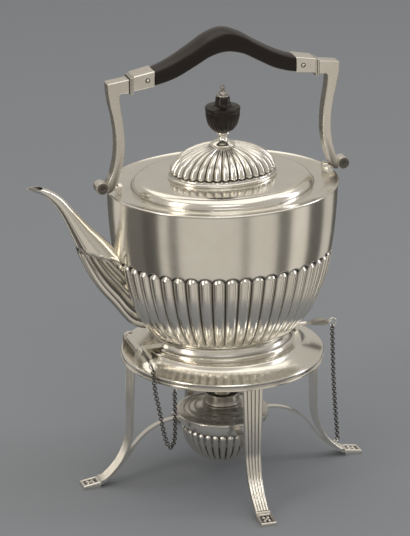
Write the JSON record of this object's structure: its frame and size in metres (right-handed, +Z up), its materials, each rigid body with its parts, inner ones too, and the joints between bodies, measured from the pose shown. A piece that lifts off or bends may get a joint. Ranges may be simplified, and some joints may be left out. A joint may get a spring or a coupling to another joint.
{
  "type": "spirit kettle on stand",
  "caption": "Oval half-fluted silver spirit kettle with spout, swinging bail handle and hinged lid, tilting on a round stand with reeded legs, chained pins and a spirit lamp",
  "frame": {"origin": "on the ground, in the middle of the whole object's length and width", "axes": "+Z up, +X away from the spout towards the lock pin, -Y the side that the hinge pin's head is on"},
  "size_m": [0.2362, 0.201, 0.317],
  "materials": {
    "silver": "polished silver with dark oxide left in the hollows",
    "oxidised_silver": "dark oxidised silver wire",
    "ebony": "satin polished ebony",
    "cotton": "plaited cotton wick"
  },
  "bodies": {
    "stand": {"stand_ring": "silver", "lamp_ring": "silver", "hinge_lugs": "silver", "lock_lug": "silver", "left_chain_loop": "silver", "right_chain_loop": "silver", "left_chain": "oxidised_silver", "right_chain": "oxidised_silver", "leg_right": "silver", "leg_back": "silver", "leg_left": "silver", "leg_front": "silver", "foot_right": "silver", "foot_back": "silver", "foot_left": "silver", "foot_front": "silver", "strut_right": "silver", "strut_back": "silver", "strut_left": "silver", "strut_front": "silver"},
    "hinge_pin": {"hinge_pin_shaft": "silver", "hinge_pin_head": "silver", "hinge_pin_ring": "silver"},
    "lock_pin": {"lock_pin_shaft": "silver", "lock_pin_head": "silver", "lock_pin_ring": "silver"},
    "kettle": {"kettle_foot": "silver", "kettle_bowl": "silver", "shoulder_plate": "silver", "spout": "silver", "hinge_leaf": "silver", "lock_eye": "silver", "lid_hinge_seat": "silver", "lid_hinge_pin": "silver", "handle_ear_right": "silver", "handle_ear_left": "silver", "handle_pivot_right": "silver", "handle_pivot_left": "silver"},
    "handle": {"handle_arm_right": "silver", "handle_arm_left": "silver", "grip_ferrule_right": "silver", "grip_ferrule_left": "silver", "grip": "ebony", "grip_rivets": "silver"},
    "lid": {"lid_shell": "silver", "lid_hinge_leaf": "silver", "finial_pedestal": "silver", "finial_urn": "ebony", "finial_cap": "silver", "finial_stud": "silver", "finial_nut": "silver"},
    "lamp": {"lamp_bowl": "silver", "lamp_cover": "silver"},
    "burner": {"burner_head": "silver", "wick_tube": "silver", "wick": "cotton"}
  },
  "joints": [
    {"name": "hinge_pin_slide", "type": "slide", "parent": "stand", "child": "hinge_pin", "axis": [0, -1, 0], "range_m": [0, 0.045], "deforming": ["left_chain"]},
    {"name": "lock_pin_slide", "type": "slide", "parent": "stand", "child": "lock_pin", "axis": [1, 0, 0], "range_m": [-0.0065, 0.02], "deforming": ["right_chain"]},
    {"name": "kettle_tilt", "type": "hinge", "parent": "stand", "child": "kettle", "pos_m": [-0.04435, 0, 0.1002], "axis": [0, -1, 0], "range_deg": [0, 50]},
    {"name": "handle_swing", "type": "hinge", "parent": "kettle", "child": "handle", "pos_m": [0.01765, 0, 0.213], "axis": [1, 0, 0], "range_deg": [-70, 70]},
    {"name": "lid_hinge", "type": "hinge", "parent": "kettle", "child": "lid", "pos_m": [0.01765, 0.0289, 0.2165], "axis": [-1, 0, 0], "range_deg": [0, 100]},
    {"name": "lamp_lift", "type": "slide", "parent": "stand", "child": "lamp", "axis": [0, 0, 1], "range_m": [0, 0.035]},
    {"name": "burner_lift", "type": "slide", "parent": "lamp", "child": "burner", "axis": [0, 0, 1], "range_m": [0, 0.012]}
  ]
}
